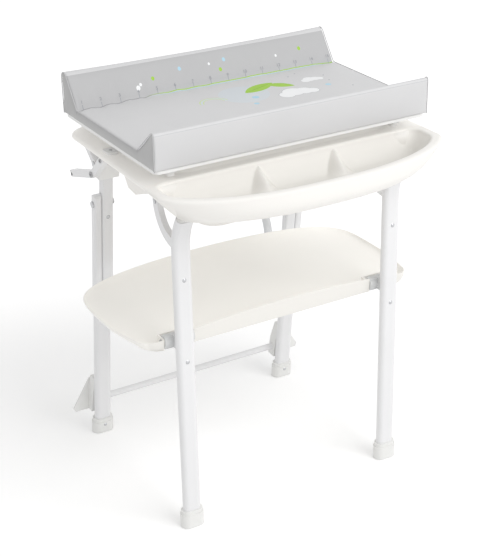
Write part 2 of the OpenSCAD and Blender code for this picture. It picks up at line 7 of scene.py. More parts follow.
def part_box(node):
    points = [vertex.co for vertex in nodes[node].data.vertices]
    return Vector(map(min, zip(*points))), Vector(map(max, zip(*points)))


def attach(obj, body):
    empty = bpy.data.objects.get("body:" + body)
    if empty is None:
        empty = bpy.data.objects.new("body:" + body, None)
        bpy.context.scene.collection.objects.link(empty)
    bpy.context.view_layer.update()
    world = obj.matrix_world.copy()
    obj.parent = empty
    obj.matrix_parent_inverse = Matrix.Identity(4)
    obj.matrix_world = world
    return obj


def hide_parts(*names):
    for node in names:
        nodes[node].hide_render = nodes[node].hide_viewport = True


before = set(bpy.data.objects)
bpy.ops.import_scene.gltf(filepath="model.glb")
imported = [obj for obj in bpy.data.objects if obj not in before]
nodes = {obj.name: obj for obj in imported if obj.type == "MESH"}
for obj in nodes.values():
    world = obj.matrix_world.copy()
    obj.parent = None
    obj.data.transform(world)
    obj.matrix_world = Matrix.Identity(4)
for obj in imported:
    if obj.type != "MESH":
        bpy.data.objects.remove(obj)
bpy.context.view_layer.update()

# ---------- Camera ----------
# Stands at a person's eye height to the front left of the table and looks down on the
# organiser lip, with a long portrait lens so that the legs stay nearly upright.
CAMERA_AIM = Vector((0.0146, 0.0274, 0.415))
CAMERA_DISTANCE = 2.8934
CAMERA_TURN = math.radians(-30.52)
CAMERA_RISE = math.radians(25.75)
CAMERA_ROLL = math.radians(-0.75)
lens = bpy.data.cameras.new("studio_camera")
lens.lens, lens.sensor_width = 89.03, 36.0
lens.clip_start, lens.clip_end = 0.1, 50.0
camera = bpy.data.objects.new("studio_camera", lens)
bpy.context.scene.collection.objects.link(camera)
backwards = Vector((math.sin(CAMERA_TURN) * math.cos(CAMERA_RISE),
                    -math.cos(CAMERA_TURN) * math.cos(CAMERA_RISE), math.sin(CAMERA_RISE)))
camera.location = CAMERA_AIM + backwards * CAMERA_DISTANCE
camera.rotation_mode = "QUATERNION"
camera.rotation_quaternion = ((-backwards).to_track_quat("-Z", "Y")
                              @ Matrix.Rotation(CAMERA_ROLL, 3, "Z").to_quaternion())
bpy.context.scene.camera = camera


# ---------- Drain hose ----------
# A ribbed flexible hose that pushes on the drain spigot under the basin, bends over behind
# it and hangs down at the right rear. Its rings are swept along the route it hangs in.
class Wire:
    """An output socket of a node. Sums on it add Math nodes."""

    def __init__(self, finish, socket):
        self.finish, self.socket = finish, socket

    def maths(self, operation, *values):
        return self.finish.node("ShaderNodeMath", {"operation": operation}, dict(enumerate(values)))

    def __add__(self, other):
        return self.maths("ADD", self, other)

    def __sub__(self, other):
        return self.maths("SUBTRACT", self, other)

    def __rsub__(self, other):
        return self.maths("SUBTRACT", other, self)

    def __mul__(self, other):
        return self.maths("MULTIPLY", self, other)

    def __truediv__(self, other):
        return self.maths("DIVIDE", self, other)

    def __mod__(self, other):
        return self.maths("FLOORED_MODULO", self, other)

    def __abs__(self):
        return self.maths("ABSOLUTE", self)

    def __gt__(self, other):
        return self.maths("GREATER_THAN", self, other)

    def __lt__(self, other):
        return self.maths("LESS_THAN", self, other)

    __radd__ = __add__


class Finish:
    """A surface finish under construction, round one Principled shader."""

    def __init__(self, name, colour, roughness, metallic=0.0, coat=0.0):
        self.material = bpy.data.materials.new(name)
        self.material.use_nodes = True
        self.tree = self.material.node_tree
        self.shader = self.tree.nodes["Principled BSDF"]
        for socket, value in (("Base Color", (*colour, 1.0)), ("Roughness", roughness),
                              ("Metallic", metallic), ("Coat Weight", coat), ("Coat Roughness", 0.25)):
            self.shader.inputs[socket].default_value = value
        place = self.tree.nodes.new("ShaderNodeTexCoord")
        self.place = Wire(self, place.outputs["Object"])

    def node(self, kind, settings, inputs, out=0):
        """Any node: its settings first, then the values or links of its sockets."""
        made = self.tree.nodes.new(kind)
        for key, value in settings.items():
            setattr(made, key, value)
        for key, value in inputs.items():
            if isinstance(value, Wire):
                self.tree.links.new(value.socket, made.inputs[key])
            else:
                made.inputs[key].default_value = value
        return Wire(self, made.outputs[out])

    def axes(self):
        """The place on a piece as three wires: across, deep and up."""
        return [self.node("ShaderNodeSeparateXYZ", {}, {0: self.place}, out) for out in range(3)]

    def noise(self, scale, detail=2.0, stretch=(1, 1, 1)):
        """A soft random pattern from 0 to 1, stretched along the axes."""
        spot = self.node("ShaderNodeMapping", {}, {"Vector": self.place, "Scale": stretch})
        return self.node("ShaderNodeTexNoise", {}, {"Vector": spot, "Scale": scale, "Detail": detail})

    def blend(self, first, second, share):
        """Mixes two colours, or a wire and a colour, by a share from 0 to 1."""
        return self.node("ShaderNodeMix", {"data_type": "RGBA"}, {
            0: share, 6: first if isinstance(first, Wire) else (*first, 1.0),
            7: second if isinstance(second, Wire) else (*second, 1.0)}, out=2)

    def feed(self, socket, wire):
        """Links a wire to a socket of the shader."""
        self.tree.links.new(wire.socket, self.shader.inputs[socket])
        return self

    def bump(self, height, distance, strength=1.0):
        """Raises the surface by a wire's height, as far as light can tell."""
        return self.feed("Normal", self.node("ShaderNodeBump", {}, {
            "Height": height, "Distance": distance, "Strength": strength}))

    def wear(self, *pieces):
        """Gives the finish to these pieces in place of what they had."""
        for piece in pieces:
            piece.data.materials.clear()
            piece.data.materials.append(self.material)


def tone(red, green, blue):
    """A colour on the 0 to 255 scale, as the linear numbers that a shader takes."""
    return tuple(((c / 255 + 0.055) / 1.055) ** 2.4 for c in (red, green, blue))


def start(name):
    """Takes the primitive just added as a new piece, alone in the selection."""
    made = bpy.context.object
    made.name = made.data.name = name
    return made


def extrude_rings(name, rings, close):
    """Adds a ring of edges, extrudes it through every ring of points, and may close the end."""
    bpy.ops.object.select_all(action="DESELECT")
    bpy.ops.mesh.primitive_circle_add(vertices=len(rings[0]), radius=0.1)
    made = start(name)
    bpy.ops.object.mode_set(mode="EDIT")
    for level, ring in enumerate(rings):
        if level:
            bpy.ops.mesh.extrude_region_move()
        shape = bmesh.from_edit_mesh(made.data)
        for k, v in enumerate([v for v in shape.verts if v.select]):
            v.co = ring[k]
        bmesh.update_edit_mesh(made.data)
    if close:
        bpy.ops.mesh.edge_face_add()
    bpy.ops.object.mode_set(mode="OBJECT")
    return made


HOSE_ROUTE = [(84, 118, 577), (87, 138, 576), (98, 162, 565), (116, 183, 543), (135, 196, 514),
              (152, 203, 482), (164, 206, 447), (170, 207, 412), (171, 207, 370), (170, 206, 330),
              (168, 205, 290), (167, 204, 250), (167, 204, 216)]
HOSE_RADIUS, HOSE_WALL = 0.008, 0.0015
RIB_PITCH, RIB_DEPTH = 0.005, 0.0007
HOSE_SIDES = 20
ROUTE_STEPS = 26
route = [Vector(p) / 1000 for p in HOSE_ROUTE]


def between(a, b, c, d, t):
    """A value from b to c, on the smooth curve that passes a and d as well."""
    return (b * 2 + (c - a) * t + (a * 2 - b * 5 + c * 4 - d) * t ** 2
            + (b * 3 - a - c * 3 + d) * t ** 3) / 2


def along_route(points, steps):
    """Points of a smooth curve through the route, a few to each stretch."""
    ends = [points[0] * 2 - points[1], *points, points[-1] * 2 - points[-2]]
    for i in range(len(points) - 1):
        for k in range(steps):
            yield between(*ends[i:i + 4], k / steps)
    yield points[-1]


hose_line = list(along_route(route, ROUTE_STEPS))
hose_length = sum((b - a).length for a, b in zip(hose_line, hose_line[1:]))
hose_rings = []
travelled = 0.0
for i, spot in enumerate(hose_line):
    behind, ahead = hose_line[max(i - 1, 0)], hose_line[min(i + 1, len(hose_line) - 1)]
    travelled += (spot - behind).length
    heading = (ahead - behind).normalized() if i else Vector((0, 1, 0))
    across = (Vector((1, 0, 0)) - heading * heading.x).normalized()
    upward = heading.cross(across)
    radius = HOSE_RADIUS - RIB_DEPTH * (0.5 + 0.5 * math.cos(2 * math.pi * travelled / RIB_PITCH))
    turns = [2 * math.pi * k / HOSE_SIDES for k in range(HOSE_SIDES)]
    hose_rings.append([spot + (across * math.cos(turn) + upward * math.sin(turn)) * radius
                       for turn in turns])
hose = extrude_rings("ribbed_drain_hose", hose_rings, close=False)
wall = hose.modifiers.new("wall", "SOLIDIFY")
wall.thickness, wall.offset = HOSE_WALL, -1
bpy.ops.object.modifier_apply(modifier="wall")
bpy.ops.object.mode_set(mode="EDIT")
bpy.ops.mesh.select_all(action="SELECT")
bpy.ops.mesh.normals_make_consistent(inside=False)
bpy.ops.object.mode_set(mode="OBJECT")
bpy.ops.object.shade_smooth()
hose_finish = Finish("hose_plastic", tone(222, 224, 226), 0.45)
hose_finish.feed("Base Color", hose_finish.blend(tone(212, 215, 218), tone(230, 231, 232),
                                                 hose_finish.noise(60)))
hose_finish.bump(hose_finish.noise(900), 0.0002)
hose_finish.wear(hose)
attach(hose, "frame")
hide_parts("drain_hose")
[tuple(p) for p in hose_line]

# ---------- Steel tubes ----------
# Legs, posts, stays, arms, bars and the crossbar: steel tube and flat bar under white powder
# coat, which has a very fine orange peel. A dark rivet shows near each rest bar's lower end.
STEEL_TUBES = ["front_leg_left", "front_leg_right", "rear_post_left", "rear_post_right",
               "curved_stay_left", "curved_stay_right", "mat_rest_bar_left", "mat_rest_bar_right",
               "mat_arm_left", "mat_arm_right", "rear_leg_left", "rear_leg_right", "rear_crossbar"]
BAR_RIVET = (0, 0.2625, 0.6322)
BAR_RIVET_RADIUS = 0.0032


def flattened(finish, kept):
    """The place on a piece, along the kept axes alone."""
    return finish.node("ShaderNodeVectorMath", {"operation": "MULTIPLY"}, {0: finish.place, 1: kept})


def disc(finish, where, centre, radius):
    """One inside a circle and nothing outside it."""
    apart = finish.node("ShaderNodeVectorMath", {"operation": "DISTANCE"}, {0: where, 1: centre}, out=1)
    return apart < radius


powder = Finish("white_paint", tone(234, 234, 235), 0.36, coat=0.15)
bar_rivet = disc(powder, flattened(powder, (0, 1, 1)), BAR_RIVET, BAR_RIVET_RADIUS)
powder_tint = powder.blend(tone(231, 231, 232), tone(237, 237, 238), powder.noise(9, 4))
powder.feed("Base Color", powder.blend(powder_tint, tone(78, 78, 82), bar_rivet))
powder.feed("Roughness", 0.3 + powder.noise(35, 3) * 0.14)
powder.bump(powder.noise(850, 1), 0.00012)
powder.wear(*(nodes[name] for name in STEEL_TUBES))

# ---------- Feet and crossbar brackets ----------
# Injection-moulded feet sleeved over the tube ends, and the finned brackets that hold the
# crossbar: satin plastic, a little duller than the steel, with a fine grain. A small live
# bevel breaks their edges.
def break_edges(node, width):
    """Joins a CAD node's loose triangles, bevels its sharp edges and evens out its shading."""
    weld = node.modifiers.new("weld", "WELD")
    weld.merge_threshold = 0.00001
    bevel = node.modifiers.new("edge", "BEVEL")
    bevel.width, bevel.segments, bevel.limit_method = width, 2, "ANGLE"
    bevel.angle_limit, bevel.harden_normals = math.radians(35), False
    even = node.modifiers.new("even_shading", "WEIGHTED_NORMAL")
    even.weight, even.keep_sharp = 100, False


moulded = Finish("foot_plastic", tone(234, 234, 232), 0.5)
moulded.feed("Base Color", moulded.blend(tone(231, 231, 229), tone(237, 237, 235), moulded.noise(14, 4)))
moulded.feed("Roughness", 0.44 + moulded.noise(60, 3) * 0.16)
moulded.bump(moulded.noise(1400, 2), 0.0001)
for name in ("front_foot_left", "front_foot_right", "rear_foot_left", "rear_foot_right",
             "crossbar_bracket_left", "crossbar_bracket_right"):
    break_edges(nodes[name], 0.0015)
    moulded.wear(nodes[name])

# ---------- Plastic fittings ----------
# Post brackets, rim clips and the drain elbow are white mouldings; the shelf hinge blocks and
# the plugs of the stays are grey; the rest bars have dark plugs and grey screws, with painted shade in
# their sockets.
fitting = Finish("white_plastic", tone(241, 241, 240), 0.42)
fitting.feed("Base Color", fitting.blend(tone(238, 238, 237), tone(244, 244, 243), fitting.noise(20, 3)))
fitting.bump(fitting.noise(1200, 2), 0.0001)
grey = Finish("grey_plastic", tone(216, 217, 217), 0.5)
grey.feed("Base Color", grey.blend(tone(212, 213, 213), tone(220, 221, 221), grey.noise(30, 3)))
grey.bump(grey.noise(1200, 2), 0.0001)
black = Finish("dark_plastic", tone(62, 62, 66), 0.5)
black.feed("Base Color", black.blend(tone(52, 52, 56), tone(72, 72, 76), black.noise(120, 3)))
black.bump(black.noise(1500, 2), 0.0001)
REAR_SOCKET, FRONT_SOCKET = (0, 0.163, 0.664), (0, 0.115, 0.7085)
SOCKET_RADIUS = 0.0026
capped = Finish("capped_screw", tone(176, 176, 178), 0.45)
screw_view = flattened(capped, (0, 1, 1))
# Painted shade: a dark disc on each screw head stands for the shade in its socket.
socket_painted_shade = (disc(capped, screw_view, REAR_SOCKET, SOCKET_RADIUS)
           + disc(capped, screw_view, FRONT_SOCKET, SOCKET_RADIUS))
cap_tint = capped.blend(tone(170, 170, 172), tone(182, 182, 184), capped.noise(200, 2))
capped.feed("Base Color", capped.blend(cap_tint, tone(60, 60, 64), socket_painted_shade))
for finish, width, names in (
        (fitting, 0.0012, ("post_bracket_left", "post_bracket_right", "tub_clips", "drain_elbow",
                           "mat_board", "arm_pads")),
        (grey, 0.0015, ("shelf_bracket_left", "shelf_bracket_right", "stay_end_plugs")),
        (capped, 0.0006, ("rest_bar_screws",)),
        (black, 0.0006, ("rest_bar_plugs",))):
    for name in names:
        break_edges(nodes[name], width)
        finish.wear(nodes[name])

# ---------- Screws, rivets and pins ----------
# Zinc-plated steel fastenings that hold the tubes and mouldings together and turn in the
# hinges: domed heads with a faint turned grain and a slightly uneven shine.
zinc = Finish("steel", tone(196, 197, 199), 0.34, metallic=1.0)
zinc.feed("Base Color", zinc.blend(tone(180, 181, 184), tone(206, 207, 208), zinc.noise(400, 3)))
zinc.feed("Roughness", 0.26 + zinc.noise(700, 2, (1, 1, 6)) * 0.2)
for name in ("stay_screws", "tub_screws", "mat_hinge_pins", "leg_rivets", "post_rivets",
             "mat_screws", "leg_pivot_pins", "foot_screws", "shelf_pins"):
    zinc.wear(nodes[name])

# ---------- Drain plug ----------
# A soft rubber plug, moulded in one with a ring to pull it by, and pressed into the tub's
# drain hole.
plug_rubber = Finish("plug_rubber", tone(176, 206, 226), 0.6)
plug_rubber.feed("Base Color", plug_rubber.blend(tone(168, 200, 222), tone(184, 212, 230),
                                                 plug_rubber.noise(90, 3)))
plug_rubber.bump(plug_rubber.noise(900, 2), 0.0002)
plug_rubber.wear(nodes["drain_plug"])
break_edges(nodes["drain_plug"], 0.0008)

# ---------- Bath tub ----------
# One deep moulding in warm white plastic: a bowed lip round the organiser trough, a flat rim
# with a bead round the basin, and the basin, which narrows in two steps to the drain. Each
# wall is a ring of points that is extruded level by level, and the decks are filled.
RIM_Z = 0.752
RIM_HALF, REAR_HALF = 0.311, 0.307
RIM_BACK, RIM_CORNER = 0.2135, 0.060
LIP_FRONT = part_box("organiser_trough")[0].y
TUB_WALL = 0.003
RIM_EDGE = 0.0055
SIDE_Y = -0.208
BOW_POWER, BOW_ROUND = 2.5, 0.63
BACK_STEPS, CORNER_STEPS, FRONT_STEPS, EDGE_STEPS = 170, 14, 150, 16


def arc(cx, cy, radius, first, steps):
    """A quarter turn of points, without its last."""
    for k in range(steps):
        turn = math.radians(first + 90 * k / steps)
        yield cx + radius * math.cos(turn), cy + radius * math.sin(turn)


def straight(a, b, steps):
    """Points from one place towards another, without the last."""
    for k in range(steps):
        yield a[0] + (b[0] - a[0]) * k / steps, a[1] + (b[1] - a[1]) * k / steps


def bowed_outline(half, back, side_y, bow, radius, grow, narrower=0.0):
    """Round at the back corners, bowed out at the front."""
    rear = half - narrower
    line = list(arc(rear - radius, back - radius, radius + grow, 0, CORNER_STEPS))
    line += straight((rear - radius, back + grow), (radius - rear, back + grow), BACK_STEPS)
    line += arc(radius - rear, back - radius, radius + grow, 90, CORNER_STEPS)
    line += straight((-rear - grow, back - radius), (-half - grow, side_y), EDGE_STEPS)
    for k in range(FRONT_STEPS):
        turn = -math.pi / 2 + math.pi * k / FRONT_STEPS
        reach = max(0.0, 1 - abs(math.sin(turn)) ** BOW_POWER) ** BOW_ROUND
        line.append(((half + grow) * math.sin(turn), side_y - (bow + grow) * reach))
    line += straight((half + grow, side_y), (rear + grow, back - radius), EDGE_STEPS)
    return line


def round_outline(half, front, back, radius, grow):
    """A rounded rectangle with as many points as a bowed outline."""
    line = list(arc(half - radius, back - radius, radius + grow, 0, CORNER_STEPS))
    line += straight((half - radius, back + grow), (radius - half, back + grow), BACK_STEPS)
    line += arc(radius - half, back - radius, radius + grow, 90, CORNER_STEPS)
    line += straight((-half - grow, back - radius), (-half - grow, front + radius), EDGE_STEPS)
    rest = FRONT_STEPS - 2 * CORNER_STEPS
    line += arc(radius - half, front + radius, radius + grow, 180, CORNER_STEPS)
    line += straight((radius - half, front - grow), (half - radius, front - grow), rest)
    line += arc(half - radius, front + radius, radius + grow, 270, CORNER_STEPS)
    line += straight((half + grow, front + radius), (half + grow, back - radius), EDGE_STEPS)
    return line


def at_height(outline, z):
    """An outline as a level ring."""
    return [Vector((x, y, z)) for x, y in outline]


def spread(levels, steps):
    """Spreads a few levels out over many, along a smooth curve through them."""
    for i in range(len(levels) - 1):
        around = [levels[max(0, min(len(levels) - 1, i + k))] for k in (-1, 0, 1, 2)]
        for k in range(steps):
            yield [between(*four, k / steps) for four in zip(*around)]
    yield levels[-1]


def rim(grow, z):
    """The tub's outermost ring, grown or drawn in."""
    return at_height(bowed_outline(RIM_HALF, RIM_BACK, SIDE_Y, SIDE_Y - LIP_FRONT, RIM_CORNER, grow,
                                   RIM_HALF - REAR_HALF), z)


# Outer wall: round the lip it sweeps down and in to the belly, and elsewhere it is a thin edge.
# Half width, back, side end, bow, corner radius and depth of each level of the lip.
LIP = [(0.311, -0.148, -0.208, 0.1045, 0.024, 0.003), (0.3105, -0.148, -0.208, 0.1045, 0.024, 0.007),
       (0.306, -0.148, -0.2075, 0.105, 0.024, 0.013), (0.299, -0.149, -0.207, 0.1053, 0.024, 0.021),
       (0.291, -0.149, -0.206, 0.105, 0.023, 0.030), (0.281, -0.150, -0.205, 0.102, 0.022, 0.040),
       (0.269, -0.150, -0.203, 0.093, 0.020, 0.0515), (0.260, -0.150, -0.201, 0.083, 0.019, 0.058),
       (0.250, -0.150, -0.197, 0.070, 0.018, 0.0615), (0.238, -0.150, -0.193, 0.058, 0.018, 0.062)]
LIP_FADE_START, LIP_FADE_LENGTH = -0.128, 0.062


def share_of_lip(p):
    """One along the lip and nothing along the sides and the back, with a soft change."""
    t = min(1.0, max(0.0, (LIP_FADE_START - p.y) / LIP_FADE_LENGTH))
    return t * t * (3 - 2 * t)


shares = [share_of_lip(p) for p in rim(0, RIM_Z)]


def swept(front, inset, depth):
    """Joins a ring of the lip to the rim's edge at that inset and depth."""
    edge = rim(-inset, RIM_Z - depth)
    return [e.lerp(f, share) for e, f, share in zip(edge, front, shares)]


wall = [rim(-inset, RIM_Z - drop) for inset, drop in (
    (0.0082, 0), (0.0070, 0), (0.0060, 0.0001), (0.0042, 0.0005), (0.0023, 0.0012), (0.0008, 0.0022))]
LIP_TOP = LIP[0][5]
for k, (half, back, side_y, bow, radius, depth) in enumerate(spread(LIP, 2)):
    lip_ring = at_height(bowed_outline(half, back, side_y, bow, radius, 0), RIM_Z - depth)
    turned = min(1.0, k / 6)
    wall.append(swept(lip_ring, 0.0035 * max(0.0, turned - 0.6), LIP_TOP + (RIM_EDGE - LIP_TOP) * turned))
# Under the belly the wall runs back to the keel, then up behind the trough.
KEEL_Y = -0.150
belly = wall[-1]
for share in (0.3, 0.7, 1.0):
    wall.append([p.lerp(Vector((p.x, KEEL_Y, p.z)), share * part) for p, part in zip(belly, shares)])
keel = wall[-1]
for share in (0.1, 0.55, 1.0):
    wall.append([Vector((p.x * (1 - 0.012 * share), p.y, p.z + (RIM_Z - RIM_EDGE - p.z) * share))
                 for p in keel])
tub = extrude_rings("tub_shell", wall, close=False)

# Trough: half width, back, side end, bow, corner radius, depth below the rim.
TROUGH = [(0.290, -0.153, -0.203, 0.093, 0.024, 0.003), (0.2885, -0.1535, -0.2025, 0.0925, 0.024, 0.010),
          (0.2835, -0.156, -0.201, 0.090, 0.024, 0.022), (0.2755, -0.161, -0.199, 0.085, 0.023, 0.034),
          (0.2655, -0.168, -0.197, 0.077, 0.022, 0.0435), (0.254, -0.176, -0.196, 0.066, 0.018, 0.0495),
          (0.238, -0.186, -0.198, 0.048, 0.010, 0.052)]
TROUGH_FLOOR = RIM_Z - TROUGH[-1][5]
DIVIDERS = (-0.072, 0.097)
DIVIDER_HALF, DIVIDER_REACH, DIVIDER_BACK, DIVIDER_TOP = 0.032, 0.052, -0.154, 0.044


def divider_height(p):
    """How far the nearest divider stands above the trough floor at this place."""
    best = 0.0
    for centre in DIVIDERS:
        out = (math.sqrt((p.x - centre) ** 2 + 0.0032 ** 2) - 0.0032) / DIVIDER_HALF
        ahead = max(0.0, DIVIDER_BACK - p.y) / DIVIDER_REACH
        if out < 1 and ahead < 1:
            best = max(best, (1 - out) ** 1.75 * (1 - ahead ** 1.5))
    return DIVIDER_TOP * best


def with_dividers(ring):
    """A ring of the trough, raised where a divider stands."""
    return [Vector((p.x, p.y, max(p.z, TROUGH_FLOOR + divider_height(p)))) for p in ring]


def bowl(level, grow, z):
    """A ring of the trough."""
    return at_height(bowed_outline(*level[:5], grow), z)


inside = [bowl(TROUGH[0], grow, RIM_Z - drop) for grow, drop in (
    (0.0072, 0), (0.0062, 0), (0.0050, 0.0001), (0.0034, 0.0004), (0.0018, 0.0010), (0.0006, 0.0020))]
inside += [with_dividers(bowl(level, 0, RIM_Z - level[5])) for level in spread(TROUGH, 4)]
FLOOR_RINGS = 12
floor_ring = inside[-1]
for k in range(1, FLOOR_RINGS + 1):
    share = k / FLOOR_RINGS * 0.98
    inside.append(with_dividers([Vector((p.x - p.x * 0.07 * share, p.y + (SIDE_Y - p.y) * share,
                                         TROUGH_FLOOR)) for p in floor_ring]))
trough = extrude_rings("trough", inside, close=True)

# Basin: half width, front, back, corner radius, depth; inside, round the drain, and outside.
BASIN = [(0.255, -0.120, 0.164, 0.058, 0.003), (0.2545, -0.1195, 0.1635, 0.058, 0.030),
         (0.253, -0.117, 0.160, 0.056, 0.050), (0.246, -0.112, 0.156, 0.055, 0.058),
         (0.232, -0.105, 0.151, 0.054, 0.064), (0.222, -0.099, 0.146, 0.053, 0.078),
         (0.210, -0.092, 0.141, 0.052, 0.092), (0.181, -0.077, 0.131, 0.048, 0.116),
         (0.151, -0.062, 0.120, 0.044, 0.140), (0.135, -0.055, 0.114, 0.041, 0.156),
         (0.126, -0.049, 0.108, 0.037, 0.163), (0.116, -0.044, 0.102, 0.032, 0.166)]
BASIN_DEPTH = BASIN[-1][4]
DRAIN = Vector((0.084, 0.072))
DRAIN_RADIUS, DRAIN_DISH = 0.018, 0.024


def basin_ring(level, grow, z):
    """A ring of the basin's wall."""
    return at_height(round_outline(*level[:4], grow), z)


def round_drain(radius, z):
    """The drain hole's edge, with its points facing the same way as the basin floor's."""
    headings = [math.atan2(y - DRAIN.y, x - DRAIN.x) for x, y in round_outline(*BASIN[-1][:4], 0)]
    return [Vector((DRAIN.x + radius * math.cos(a), DRAIN.y + radius * math.sin(a), z)) for a in headings]


BEAD = [(0.016, 0.0), (0.014, 0.0), (0.0115, 0.0006), (0.009, 0.0024), (0.0065, 0.0044), (0.0035, 0.0058),
        (0.0005, 0.006), (-0.0018, 0.0048), (-0.0028, 0.002)]
basin_floor = RIM_Z - BASIN_DEPTH
basin_levels = list(spread(BASIN, 2))
walls = [basin_ring(BASIN[0], grow, RIM_Z + rise) for grow, rise in BEAD]
walls += [basin_ring(level, -TUB_WALL, RIM_Z - level[4] + TUB_WALL * level[4] / BASIN_DEPTH)
          for level in basin_levels]
walls += [[p.lerp(q, share) for p, q in zip(walls[-1], round_drain(DRAIN_DISH, basin_floor + TUB_WALL))]
          for share in (0.2, 0.5, 0.8, 1.0)]
walls += [round_drain(DRAIN_RADIUS + 0.001, basin_floor + TUB_WALL),
          round_drain(DRAIN_RADIUS, basin_floor + 0.002), round_drain(DRAIN_RADIUS, basin_floor)]
walls += [basin_ring(level, 0, RIM_Z - level[4]) for level in reversed(basin_levels[1:])]
walls += [basin_ring(BASIN[0], grow, RIM_Z - RIM_EDGE - drop)
          for grow, drop in ((0.0, 0.003), (0.001, 0.001), (0.003, 0.0), (0.006, 0.0))]
basin = extrude_rings("basin_walls", walls, close=False)

bpy.ops.object.select_all(action="DESELECT")
for part in (trough, basin, tub):
    part.select_set(True)
bpy.context.view_layer.objects.active = tub
bpy.ops.object.join()
bpy.ops.object.mode_set(mode="EDIT")
for deck_z in (RIM_Z, RIM_Z - RIM_EDGE):
    bpy.ops.mesh.select_all(action="DESELECT")
    shape = bmesh.from_edit_mesh(tub.data)
    for edge in shape.edges:
        edge.select = edge.is_boundary and all(abs(v.co.z - deck_z) < 1e-5 for v in edge.verts)
    bmesh.update_edit_mesh(tub.data)
    bpy.ops.mesh.fill(use_beauty=True)
bpy.ops.mesh.select_all(action="SELECT")
bpy.ops.mesh.normals_make_consistent(inside=False)
bpy.ops.object.mode_set(mode="OBJECT")
bpy.ops.object.shade_smooth()
bath = Finish("tub_plastic", tone(240, 238, 234), 0.5)
bath_x, bath_y, bath_z = bath.axes()


def soft_step(finish, value, zero_at, one_at):
    """Rises smoothly from nothing to one between two values."""
    return finish.node("ShaderNodeMapRange", {"interpolation_type": "SMOOTHSTEP"}, {
        "Value": value, "From Min": zero_at, "From Max": one_at})


# Painted shade: the trough's walls are tinted darker than the rim, where the lip's shade falls.
bath_depth = RIM_Z - bath_z
trough_painted_shade = (soft_step(bath, bath_y, -0.250, -0.215) * (bath_y < -0.1495)
             * soft_step(bath, bath_depth, 0.006, 0.044) * (bath_depth < 0.056)
             * (abs(bath_x) + bath_depth * 0.55 < 0.30))
bath_tint = bath.blend(tone(239, 237, 233), tone(242, 240, 236), bath.noise(5, 3))
bath.feed("Base Color", bath.blend(bath_tint, tone(222, 220, 215), trough_painted_shade))
# Painted light: the whole tub glows a little, and its deck behind the trough glows the most, lifting it
# where the mat shades it.
deck_painted_glow = soft_step(bath, bath_z, 0.743, 0.749) * soft_step(bath, bath_y, -0.172, -0.140)
bath.feed("Emission Color", bath.blend((0.35, 0.343, 0.333), (1, 0.98, 0.95), deck_painted_glow))
bath.feed("Roughness", 0.42 + bath.noise(22, 3) * 0.14)
bath.shader.inputs["Emission Strength"].default_value = 0.14
bath.bump(bath.noise(28, 2), 0.0006, 0.25)
bath.wear(tub)
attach(tub, "frame")
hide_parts("bath_basin", "organiser_trough")

# Side lugs: a moulded web under the rim on each side, deepest in the middle, beside the stays.
LUG = [(0.014, 0.7495), (0.011, 0.716), (-0.006, 0.693), (-0.036, 0.6885), (-0.099, 0.7125),
       (-0.128, 0.7495)]


def cap_ends():
    """Fills the open ends of the active piece and turns its faces outwards."""
    bpy.ops.object.mode_set(mode="EDIT")
    bpy.ops.mesh.select_all(action="DESELECT")
    bpy.ops.mesh.select_non_manifold()
    bpy.ops.mesh.edge_face_add()
    bpy.ops.mesh.select_all(action="SELECT")
    bpy.ops.mesh.normals_make_consistent(inside=False)
    bpy.ops.object.mode_set(mode="OBJECT")


for side, hand in ((-1, "left"), (1, "right")):
    faces = [[Vector((side * across, y, z)) for y, z in LUG] for across in (0.2625, 0.2725)]
    lug = extrude_rings(f"side_lug_{hand}", faces, close=True)
    cap_ends()
    soft = lug.modifiers.new("soft_edges", "BEVEL")
    soft.width, soft.segments = 0.0025, 3
    bpy.ops.object.shade_smooth_by_angle(angle=math.radians(50))
    bath.wear(lug)
    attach(lug, "frame")

# ---------- Leg end plugs ----------
# Push-in plastic plugs close the front legs' bent ends under the lip, just inside the tube.
# They are flat ovals like the tube, with a rounded edge.
PLUG_CENTRE = Vector((0, -0.1752, 0.6839))
PLUG_HALF, PLUG_RADIUS, PLUG_SIDES = 0.0090, 0.0083, 48
LEG_BEND = math.radians(36.7)
outwards = Vector((0, -math.sin(LEG_BEND), math.cos(LEG_BEND)))
crosswise = Vector((0, math.cos(LEG_BEND), math.sin(LEG_BEND)))
LEG_X = 0.240
for side, hand in ((-1, "left"), (1, "right")):
    middle = PLUG_CENTRE + Vector((side * LEG_X, 0, 0))
    rings = []
    for depth, inset in ((-0.0060, 0), (-0.0012, 0), (-0.0006, 0.0004), (-0.0003, 0.0012)):
        ring = []
        for k in range(PLUG_SIDES):
            turn = 2 * math.pi * (k + 0.5) / PLUG_SIDES
            across = math.copysign(PLUG_HALF, math.cos(turn)) + (PLUG_RADIUS - inset) * math.cos(turn)
            ring.append(middle + Vector((across, 0, 0)) + outwards * depth
                        + crosswise * (PLUG_RADIUS - inset) * math.sin(turn))
        rings.append(ring)
    end_plug = extrude_rings(f"leg_end_plug_{hand}", rings, close=True)
    cap_ends()
    bpy.ops.object.shade_smooth_by_angle(angle=math.radians(35))
    fitting.wear(end_plug)
    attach(end_plug, "frame")

# ---------- Shelf tray ----------
# A shallow moulded tray in the same plastic: the floor runs up into a broad slope at the back
# and the ends, the front wall is upright, and the rim dips towards both ends. The notches for
# the hinge blocks are cut out and walled.
TRAY_FLOOR, TRAY_RIM, TRAY_CROWN = 0.398, 0.4385, 2.35
TRAY_MIDDLE = 0.010
TRAY_WALL, TRAY_ROUND = 0.003, 0.0014
TRAY_SQUARENESS = 0.37
TRAY_POINTS = 360
